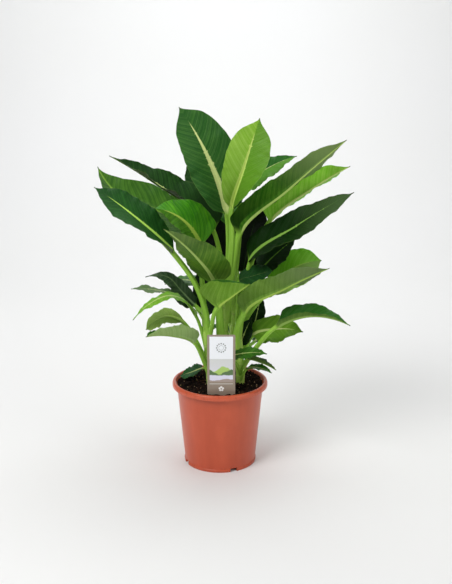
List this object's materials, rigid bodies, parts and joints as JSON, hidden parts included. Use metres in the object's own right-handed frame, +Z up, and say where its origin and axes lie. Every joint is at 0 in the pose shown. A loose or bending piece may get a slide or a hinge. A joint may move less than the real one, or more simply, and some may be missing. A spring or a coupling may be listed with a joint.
{
  "type": "potted dieffenbachia",
  "caption": "Leafy dieffenbachia with broad pale-ribbed leaves on long stalks, in a round terracotta-coloured plastic nursery pot with a plain plant label.",
  "frame": {"origin": "on the pot's axis at the level of its underside, which is the middle of the bounding box's underside to within a few millimetres", "axes": "+Z up along the pot's axis, -Y towards the side with the label, +X to the right seen from there"},
  "size_m": [0.483, 0.3117, 0.7064],
  "materials": {
    "leaf_dark": "satin leaf skin, dark green, pale midrib",
    "leaf_middle": "satin leaf skin, fresh green, pale midrib",
    "leaf_young": "satin leaf skin, young yellow-green",
    "stem": "smooth light green stem",
    "pot": "satin terracotta-coloured plastic",
    "soil": "crumbled dark peat",
    "label": null
  },
  "bodies": {
    "root": {"stem_left": "stem", "stem_centre": "stem", "stem_right": "stem", "stem_back": "stem", "leaf_upright_left": "leaf_dark", "leaf_upright_right": "leaf_young", "leaf_behind_right": "leaf_middle", "leaf_right_high": "leaf_middle", "leaf_left_high_dark": "leaf_dark", "leaf_left_high_green": "leaf_middle", "leaf_left_underside": "leaf_middle", "leaf_behind_left": "leaf_dark", "leaf_left_big_dark": "leaf_dark", "leaf_left_bright": "leaf_middle", "leaf_fan": "leaf_middle", "leaf_left_mid_dark": "leaf_dark", "leaf_left_thin": "leaf_middle", "leaf_left_droop": "leaf_middle", "leaf_left_curl": "leaf_young", "leaf_left_low": "leaf_middle", "leaf_right_low_large": "leaf_middle", "leaf_right_arch": "leaf_middle", "leaf_right_low_back": "leaf_middle", "leaf_tag_side": "leaf_dark", "leaf_right_grey": "leaf_dark", "leaf_by_rim": "leaf_middle", "leaf_right_inner_dark": "leaf_dark", "leaf_right_mid": "leaf_middle", "leaf_right_dark": "leaf_dark", "leaf_right_dark_small": "leaf_dark", "leaf_right_round": "leaf_middle", "leaf_right_back_dark": "leaf_dark", "leaf_on_soil": "leaf_dark", "leaf_inner_right": "leaf_dark", "leaf_inner_left": "leaf_dark", "leaf_middle_right_dark": "leaf_dark", "leaf_left_inner_low": "leaf_dark", "leaf_back_high_left": "leaf_dark", "leaf_back_high_centre": "leaf_middle", "leaf_back_high_right": "leaf_dark", "leaf_back_middle_left": "leaf_middle", "leaf_back_middle_centre": "leaf_dark", "leaf_back_middle_right": "leaf_middle", "leaf_back_low_centre": "leaf_middle", "leaf_back_low_right": "leaf_dark", "pot": "pot", "soil": "soil", "tag": "label"}
  },
  "joints": []
}
